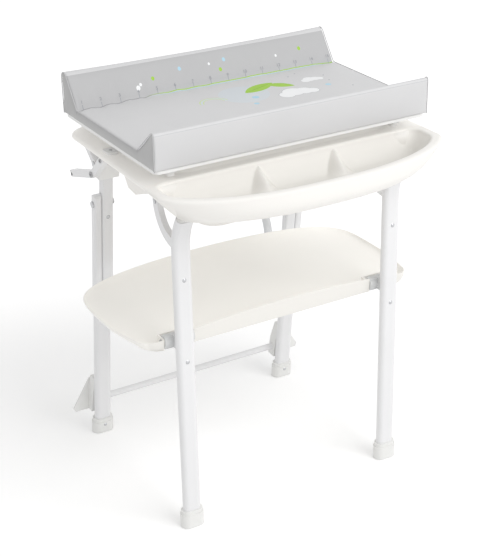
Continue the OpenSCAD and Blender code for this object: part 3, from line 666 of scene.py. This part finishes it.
# Half length at the middle and at the front, front, back, front corner radius, and share of
# the rim's height, of each level.
TRAY = [(0.225, 0.296, -0.1300, 0.088, 0.024, 0.0), (0.260, 0.301, -0.1302, 0.106, 0.027, 0.03),
        (0.286, 0.305, -0.1306, 0.121, 0.030, 0.08), (0.306, 0.309, -0.1312, 0.136, 0.033, 0.17),
        (0.321, 0.312, -0.1320, 0.150, 0.036, 0.30), (0.3295, 0.315, -0.1328, 0.161, 0.038, 0.48),
        (0.3330, 0.317, -0.1336, 0.170, 0.040, 0.72), (0.3340, 0.318, -0.1345, 0.176, 0.042, 1.0)]


def evenly(line, count, closed=False):
    """Places points at even distances along a line of points."""
    line = line + line[:1] if closed else line
    reach = [0.0]
    for a, b in zip(line, line[1:]):
        reach.append(reach[-1] + (b - a).length)
    spots, i = [], 0
    for k in range(count):
        at = reach[-1] * k / (count if closed else count - 1)
        while i < len(line) - 2 and reach[i + 1] < at:
            i += 1
        spots.append(line[i].lerp(line[i + 1], (at - reach[i]) / (reach[i + 1] - reach[i])))
    return spots


def tray_outline(half, front_half, front, back, radius):
    """Square-shouldered at the back, with tighter corners in front."""
    rear, side = [], []
    for k in range(181):
        across, along = math.cos(math.radians(k)), math.sin(math.radians(k))
        rear.append(Vector((math.copysign(abs(across) ** TRAY_SQUARENESS, across) * half,
                            TRAY_MIDDLE + (back - TRAY_MIDDLE) * along ** TRAY_SQUARENESS, 0)))
    for k in range(1, 20):
        share = k / 20
        side.append(Vector(((half - front_half) * share ** 2 - half,
                            TRAY_MIDDLE + (front + radius - TRAY_MIDDLE) * share, 0)))
    for k in range(19):
        turn = math.radians(180 + 5 * k)
        side.append(Vector((radius * (1 + math.cos(turn)) - front_half,
                            front + radius * (1 + math.sin(turn)), 0)))
    return evenly(rear + side + [Vector((-p.x, p.y, 0)) for p in reversed(side)], TRAY_POINTS, True)


def tray_side(inset):
    """The rings of one side of the wall, from the floor up to the dipping rim."""
    for half, front_half, front, back, radius, share in spread(TRAY, 3):
        ring = tray_outline(half - inset, front_half - inset, front + inset, back - inset, radius - inset)
        for p in ring:
            rim_height = TRAY_RIM - TRAY_CROWN + math.sqrt(TRAY_CROWN ** 2 - p.x ** 2) - TRAY_ROUND
            p.z = TRAY_FLOOR + inset + (rim_height - TRAY_FLOOR - inset) * share
        yield ring


outside = list(tray_side(0))
inside = list(tray_side(TRAY_WALL))
lifted = [[p.lerp(q, share) + Vector((0, 0, rise)) for p, q in zip(outside[-1], inside[-1])]
          for share, rise in ((0.12, 0.0008), (0.5, TRAY_ROUND), (0.88, 0.0008))]
tray = extrude_rings("tray_shell", outside + lifted + inside[::-1], close=True)
cap_ends()


def carve(piece, operation, low_corner, high_corner):
    """Adds or cuts a box, mirrored to both sides, with a Boolean."""
    for side in (-1, 1):
        lo = Vector((side * low_corner[0], *low_corner[1:]))
        hi = Vector((side * high_corner[0], *high_corner[1:]))
        bpy.ops.mesh.primitive_cube_add(size=1, location=(lo + hi) / 2)
        block = start("block")
        block.scale = [abs(a) for a in hi - lo]
        bpy.ops.object.transform_apply(location=True, rotation=True, scale=True)
        bpy.ops.object.select_all(action="DESELECT")
        piece.select_set(True)
        bpy.context.view_layer.objects.active = piece
        join = piece.modifiers.new("join", "BOOLEAN")
        join.operation, join.solver, join.object = operation, "EXACT", block
        bpy.ops.object.modifier_apply(modifier="join")
        bpy.data.objects.remove(block)


carve(tray, "UNION", (0.2045, -0.1325, 0.3990), (0.2755, -0.1074, 0.4240))
carve(tray, "DIFFERENCE", (0.2075, -0.1500, 0.3900), (0.2725, -0.1104, 0.4600))
bpy.ops.object.shade_smooth_by_angle(angle=math.radians(32))
shelf_finish = Finish("shelf_plastic", tone(236, 234, 229), 0.5)
shelf_tint = shelf_finish.blend(tone(243, 241, 236), tone(246, 244, 239), shelf_finish.noise(5, 3))
# Painted shade: the tray's front wall is tinted darker than the rest of the tray.
free_of_painted_shade = soft_step(shelf_finish, shelf_finish.axes()[1], -0.1285, -0.120)
shelf_finish.feed("Base Color", shelf_finish.blend(tone(228, 226, 221), shelf_tint, free_of_painted_shade))
# Painted light: the whole tray glows a little.
shelf_finish.shader.inputs["Emission Color"].default_value = (1.0, 0.98, 0.95, 1.0)
shelf_finish.shader.inputs["Emission Strength"].default_value = 0.08
shelf_finish.feed("Roughness", 0.42 + shelf_finish.noise(22, 3) * 0.14)
shelf_finish.bump(shelf_finish.noise(28, 2), 0.0006, 0.25)
shelf_finish.wear(tray)
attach(tray, "shelf")
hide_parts("shelf_tray")

# ---------- Changing mat ----------
# A foam mat in wipe-clean grey vinyl with a low bolster in front and a high one behind. Its cover
# is drawn as rings from end to end, blown up as cloth that is held along its seams and base, and
# creased at the rear bolster's foot. A welded seam runs round each end.
MAT_HALF = 0.301
MAT_BASE, PAD_TOP = 0.786, 0.808
FRONT_FOOT, REAR_FOOT = -0.113, 0.149
FRONT_RIDGE, SLOPE_HEAD = (-0.177, 0.857), (0.187, 0.8605)
MAT_PROFILE = [(-0.180, MAT_BASE), (0.212, MAT_BASE), (0.2125, 0.857), (0.2115, 0.864),
               (0.208, 0.8695), (0.202, 0.8718), (0.196, 0.8708), (0.1910, 0.8665), SLOPE_HEAD,
               (REAR_FOOT, PAD_TOP), (FRONT_FOOT, PAD_TOP),
               (-0.170, 0.8555), (-0.174, 0.8588), (-0.1785, 0.858), (-0.180, 0.855)]
COVER_OUT, WELT_IN = 0.0002, 0.0007
SECTION_POINTS, MAT_STEPS = ((200, 120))


def foam_block(inset):
    """The mat's profile, drawn in towards its middle by an inset."""
    centre = Vector((0.016, 0.80))
    drawn = [Vector(p) for p in MAT_PROFILE]
    return [p - (p - centre).normalized() * inset for p in drawn]


section = evenly([Vector((0, y, z)) for y, z in foam_block(-COVER_OUT)], SECTION_POINTS, True)
mat_rings = []
for step in range(MAT_STEPS + 1):
    across = (step / MAT_STEPS * 2 - 1) * MAT_HALF
    mat_rings.append([Vector((across, p.y, p.z)) for p in section])
mat = extrude_rings("mat_cover", mat_rings, close=True)
cap_ends()
bpy.ops.object.mode_set(mode="EDIT")
bpy.ops.mesh.quads_convert_to_tris()
bpy.ops.mesh.tris_convert_to_quads()
bpy.ops.object.mode_set(mode="OBJECT")
still = [v.co.copy() for v in mat.data.vertices]


def on_seam(p):
    """How firmly the cover is held at a place: at its base, its end seams and its creases."""
    if p.z < MAT_BASE + 0.003 or MAT_HALF - abs(p.x) < 0.0035:
        return 1.0
    crease = min(math.hypot(p.y - FRONT_FOOT, p.z - PAD_TOP), math.hypot(p.y - REAR_FOOT, p.z - PAD_TOP))
    ridge = math.hypot(p.y - FRONT_RIDGE[0], p.z - FRONT_RIDGE[1])
    return max(0.0, 1 - crease / 0.008, 0.9 - ridge / 0.010)


SWELL, SWELL_FRAMES = 0.0042, 20
held = mat.vertex_groups.new(name="held")
for v in mat.data.vertices:
    held.add([v.index], on_seam(v.co), "REPLACE")
blown = mat.modifiers.new("blown", "CLOTH")
blown.settings.quality = 4
blown.settings.mass = 0.25
blown.settings.use_pressure = True
blown.settings.uniform_pressure_force = 4.0
blown.settings.vertex_group_mass = "held"
blown.settings.effector_weights.gravity = 0.0
blown.settings.bending_stiffness = 1.5
blown.point_cache.frame_start, blown.point_cache.frame_end = 1, SWELL_FRAMES
for step in range(1, SWELL_FRAMES + 1):
    bpy.context.scene.frame_set(step)
bpy.ops.object.modifier_apply(modifier="blown")
bpy.context.scene.frame_set(1)
for v, before in zip(mat.data.vertices, still):
    moved = v.co - before
    if moved.length > 1e-7:
        v.co = before + moved.normalized() * SWELL * math.tanh(moved.length / SWELL)
SINK_DEPTH, FOLD_DEPTH = 0.0055, 0.0062


def beside(distance, width):
    """One on a line, fading softly to both sides of it."""
    return math.exp(-(distance / width) ** 2)


def beyond(distance, reach):
    """One up to a line, fading away beyond it."""
    return math.exp(-max(0.0, distance) / reach)


for v in mat.data.vertices:
    x, y, z = v.co
    if z > MAT_BASE + 0.006 and MAT_HALF - abs(x) > 0.003:
        sunk = beside(y - REAR_FOOT, 0.0042) * (beyond(x + 0.27, 0.08) + beyond(0.29 - x, 0.02))
        creased = beside(y - REAR_FOOT - 0.006, 0.017) * (beyond(x + 0.30, 0.11) + 0.22)
        folds = (noise.noise(Vector((x * 46, y * 9, 3.1)))
                 + 0.5 * noise.noise(Vector((x * 110, y * 20, 8.7))))
        v.co.z += creased * folds * FOLD_DEPTH - sunk * SINK_DEPTH
smooth = mat.modifiers.new("smooth", "SUBSURF")
smooth.levels = smooth.render_levels = 1
bpy.ops.object.shade_smooth()


def round_cord(name, line, radius, sides):
    """A round cord along a line that stays in one upright plane, closed at both ends."""
    rings = []
    for i, spot in enumerate(line):
        heading = (line[min(i + 1, len(line) - 1)] - line[max(i - 1, 0)]).normalized()
        upward = heading.cross(Vector((1, 0, 0))).normalized()
        turns = [2 * math.pi * k / sides for k in range(sides)]
        rings.append([spot + (Vector((math.cos(a), 0, 0)) + upward * math.sin(a)) * radius for a in turns])
    made = extrude_rings(name, rings, close=True)
    cap_ends()
    bpy.ops.object.shade_smooth()
    return made


vinyl = Finish("mat_cover", tone(219, 219, 220), 0.5, coat=0.1)
seam_finish = Finish("mat_seam", tone(200, 200, 201), 0.5)
seam_finish.feed("Base Color", seam_finish.blend(tone(195, 195, 196), tone(205, 205, 206),
                                                 seam_finish.noise(70, 3)))
for side in (-1, 1):
    edge = foam_block(WELT_IN)
    around = [Vector((side * (MAT_HALF - WELT_IN), y, z)) for y, z in edge[1:] + edge[:1]]
    welt = round_cord("mat_seam", evenly(around, 150), radius=0.0009, sides=8)
    seam_finish.wear(welt)
    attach(welt, "mat")

# Painted shade on the rear bolster's slope, on the ends and along the rear bolster's foot, then the print
# on
# the cover: a ruler along the rear bolster's foot, dots, and a meadow of plain shapes on the pad, all
# drawn from the place on the mat.
RULER_START, RULER_STEP, RULER_MARKS = -0.285, 0.041, 15
SLOPE = math.atan2(SLOPE_HEAD[1] - PAD_TOP, SLOPE_HEAD[0] - REAR_FOOT)
along, deep, height = vinyl.axes()
plan, facing = flattened(vinyl, (1, 1, 0)), flattened(vinyl, (1, 0, 1))
on_pad = (height > 0.801) * (deep < 0.147)
on_slope = (deep > REAR_FOOT - 0.002) * (deep < 0.2) * (height > 0.8)
upslope = (deep - REAR_FOOT) / math.cos(SLOPE)


def dot(x, y, radius):
    """A round spot on the pad."""
    return disc(vinyl, plan, (x, y, 0), radius)


def dab(x, z, radius):
    """A round spot on the rear bolster's slope."""
    return disc(vinyl, facing, (x, 0, z), radius)


def any_of(masks):
    """One where at least one of the masks is."""
    joined = masks[0]
    for mask in masks[1:]:
        joined = joined.maths("MAXIMUM", joined, mask)
    return joined


def cloud(x, y, size, grow):
    """Four overlapping circles, standing on the widest one's level."""
    lobes = ((-0.9, -0.05, 0.55), (-0.25, 0.25, 0.75), (0.5, 0.1, 0.62), (1.05, -0.12, 0.45))
    return any_of([dot(x + a * size, y + b * size, r * size + grow) for a, b, r in lobes])


def leaf(x, y, turn, length, width):
    """The overlap of two circles, pointed at both ends."""
    radius = (length ** 2 + width ** 2) / (4 * width)
    aside = radius - width / 2
    shift_x, shift_y = -math.sin(turn) * aside, math.cos(turn) * aside
    return dot(x + shift_x, y + shift_y, radius) * dot(x - shift_x, y - shift_y, radius)


def arch(x, y, radius, width):
    """The rear half of a ring."""
    ring = dot(x, y, radius + width / 2) - dot(x, y, radius - width / 2)
    return ring * (deep > y + radius * 0.1)


LIME, PALE_LIME, DEEP_LIME = tone(160, 204, 62), tone(206, 222, 160), tone(120, 170, 40)
BLUE, PALE_BLUE = tone(176, 214, 232), tone(206, 222, 232)
WHITE, MID_GREY = tone(244, 245, 246), tone(150, 153, 160)
from_left = soft_step(vinyl, along, -0.16, -0.08)
# Painted shade: the rear bolster's slope is tinted darker than the top.
slope_painted_shade = (deep > REAR_FOOT) * (deep < 0.2) * (height > 0.8) * (height < 0.866)
# Painted shade: the ends are tinted darker, as sides turned away from the lamp.
end_painted_shade = abs(along) > MAT_HALF - 0.0022
# Painted shade: a dark line in the crease along the rear bolster's foot, on the left and at the far right.
foot_crease_painted_shade = (1 - from_left) * (along < 0) + (along > 0.272)
to_mark = abs((along - RULER_START + RULER_STEP / 2) % RULER_STEP - RULER_STEP / 2)
cover = vinyl.blend(tone(211, 211, 212), tone(216, 216, 217), vinyl.noise(6, 3))
# Painted shade on the faces comes first, then the print. Each layer covers those before it.
LAYERS = [
    (tone(186, 186, 187), slope_painted_shade),
    (tone(184, 184, 184), end_painted_shade),
    (tone(140, 140, 143), on_slope * (upslope > -0.0012) * (upslope < 0.0016) * foot_crease_painted_shade * 0.7),
    (PALE_BLUE, on_pad * dot(0.02, 0.05, 0.052) * 0.35),
    (PALE_LIME, on_pad * any_of([arch(-0.055, 0.035, 0.030, 0.0022), arch(-0.055, 0.035, 0.023, 0.0022)])),
    (PALE_BLUE, on_pad * arch(-0.055, 0.035, 0.0265, 0.0022)),
    (MID_GREY, on_pad * (cloud(0.118, 0.002, 0.030, 0.0012) - cloud(0.118, 0.002, 0.030, 0)) * 0.5),
    (WHITE, on_pad * cloud(0.118, 0.002, 0.030, 0)),
    (LIME, on_pad * any_of([leaf(0.066, 0.070, 0.35, 0.085, 0.034),
                            leaf(0.112, 0.062, -0.7, 0.060, 0.024)])),
    (DEEP_LIME, on_pad * leaf(0.066, 0.070, 0.35, 0.080, 0.0016)),
    (WHITE, on_pad * cloud(0.186, 0.058, 0.017, 0)),
    (BLUE, on_pad * any_of([dot(0.030, 0.022, 0.0075), dot(0.012, -0.012, 0.0055),
                            dot(0.196, 0.012, 0.006)])),
    (MID_GREY, on_pad * any_of([dot(x, y, 0.0018) for x, y in (
        (0.155, 0.100), (0.178, 0.112), (0.222, 0.070), (0.236, -0.018), (0.214, 0.036))])),
    (LIME, on_slope * (upslope > -0.0004) * (upslope < 0.0022) * from_left),
    (BLUE, (deep > REAR_FOOT - 0.0052) * (deep < REAR_FOOT - 0.0024) * (height > 0.8) * from_left),
    (MID_GREY, on_slope * (upslope > 0.0006) * (upslope < 0.0088) * (along > RULER_START - 0.002)
     * (to_mark < 0.0006)),
    (LIME, on_slope * any_of([dab(x, z, 0.0036) for x, z in (
        (-0.124, 0.838), (0.030, 0.832), (0.226, 0.843))])),
    (BLUE, on_slope * any_of([dab(0.044, 0.848, 0.0036), dab(-0.060, 0.846, 0.0036)])),
    (WHITE, on_slope * any_of([dab(x, z, radius) for x, z, radius in (
        (-0.160, 0.826, 0.0045), (-0.153, 0.831, 0.003), (0.008, 0.845, 0.0025),
        (0.166, 0.838, 0.0025))])),
    (tone(186, 187, 190), (height > 0.8525) * (height < 0.8535) * (deep < -0.15) * 0.6)]
for tint, share in LAYERS:
    cover = vinyl.blend(cover, tint, share)
vinyl.feed("Base Color", cover)
vinyl.feed("Roughness", 0.42 + vinyl.noise(14, 3) * 0.2)
vinyl.bump(vinyl.noise(1100, 2) * 0.25 + vinyl.noise(16, 2), 0.0009)
vinyl.wear(mat)
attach(mat, "mat")
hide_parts("changing_mat")

# The ruler's figures are flat text, laid on the slope a hair above the cover.
ink = Finish("print_ink", tone(146, 148, 154), 0.6)
ink.feed("Base Color", ink.blend(tone(138, 141, 148), tone(156, 158, 164), ink.noise(300, 2)))
FIGURE_SIZE, FIGURE_UPSLOPE, FIGURE_OFF = 0.0095, 0.0105, 0.001
figure_y = REAR_FOOT + FIGURE_UPSLOPE * math.cos(SLOPE) - FIGURE_OFF
figure_z = PAD_TOP + FIGURE_UPSLOPE * math.sin(SLOPE) + FIGURE_OFF
for mark in range(RULER_MARKS):
    bpy.ops.object.select_all(action="DESELECT")
    bpy.ops.object.text_add(location=(RULER_START + mark * RULER_STEP, figure_y, figure_z),
                            rotation=(SLOPE, 0, 0))
    figure = start(f"ruler_figure_{mark + 1}")
    figure.data.body = str(mark + 1)
    figure.data.size = FIGURE_SIZE
    figure.data.align_x = "CENTER"
    figure.data.resolution_u = 3
    bpy.ops.object.convert(target="MESH")
    bpy.ops.object.transform_apply(location=True, rotation=True, scale=True)
    lay = figure.modifiers.new("lay", "SHRINKWRAP")
    lay.target, lay.wrap_mode, lay.offset = mat, "ABOVE_SURFACE", 0.0003
    bpy.ops.object.modifier_apply(modifier="lay")
    ink.wear(figure)
    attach(figure, "mat")

# ---------- Floor, background and light ----------
# A white floor that keeps the table's soft shadow and glows more with the distance from the
# table, under one broad lamp from the front right and an even studio fill.
FLOOR_SIZE = 14.0
FILL_LIGHT = 0.70
LAMP_SIZE, LAMP_POWER = 5.2, 228
LAMP_PLACE, LAMP_AIM = Vector((2.1, -5.2, 5.2)), Vector((0, 0, 0.4))
bpy.ops.object.select_all(action="DESELECT")
bpy.ops.mesh.primitive_plane_add(size=FLOOR_SIZE, location=(0, 0, -0.0005))
floor = start("studio_floor")
bpy.ops.object.transform_apply(location=True, rotation=True, scale=True)
paper = Finish("studio_paper", tone(250, 250, 250), 0.9)
path = paper.tree.nodes.new("ShaderNodeLightPath")
seen = any_of([Wire(paper, path.outputs[ray]) for ray in ("Is Camera Ray", "Is Glossy Ray")])
out_from_table = paper.node("ShaderNodeVectorMath", {"operation": "LENGTH"}, {0: paper.place}, out=1)
lift = soft_step(paper, out_from_table, 0.3, 1.5) * 0.18 + 0.13
glow = paper.node("ShaderNodeEmission", {}, {"Color": (1, 1, 1, 1), "Strength": seen * lift})
both = paper.node("ShaderNodeAddShader", {}, {0: Wire(paper, paper.shader.outputs[0]), 1: glow})
paper.tree.links.new(both.socket, paper.tree.nodes["Material Output"].inputs["Surface"])
paper.wear(floor)

world = bpy.data.worlds.new("studio_fill")
bpy.context.scene.world = world
world.use_nodes = True
sky = world.node_tree
backdrop = sky.nodes["Background"]
rays = sky.nodes.new("ShaderNodeLightPath")
full_white = rays.outputs["Is Camera Ray"]
for ray in ("Is Glossy Ray", "Is Transmission Ray"):
    either = sky.nodes.new("ShaderNodeMath")
    either.operation = "MAXIMUM"
    sky.links.new(full_white, either.inputs[0])
    sky.links.new(rays.outputs[ray], either.inputs[1])
    full_white = either.outputs[0]
level = sky.nodes.new("ShaderNodeMath")
level.operation = "MULTIPLY_ADD"
sky.links.new(full_white, level.inputs[0])
level.inputs[1].default_value = 1 - FILL_LIGHT
level.inputs[2].default_value = FILL_LIGHT
sky.links.new(level.outputs[0], backdrop.inputs["Strength"])
backdrop.inputs["Color"].default_value = (1, 1, 1, 1)

softbox = bpy.data.lights.new("key_lamp", "AREA")
softbox.size, softbox.energy = LAMP_SIZE, LAMP_POWER
key_lamp = bpy.data.objects.new("key_lamp", softbox)
bpy.context.scene.collection.objects.link(key_lamp)
key_lamp.location = LAMP_PLACE
key_lamp.rotation_mode = "QUATERNION"
key_lamp.rotation_quaternion = (LAMP_AIM - LAMP_PLACE).to_track_quat("-Z", "Y")

bpy.context.scene.view_settings.view_transform = "Standard"
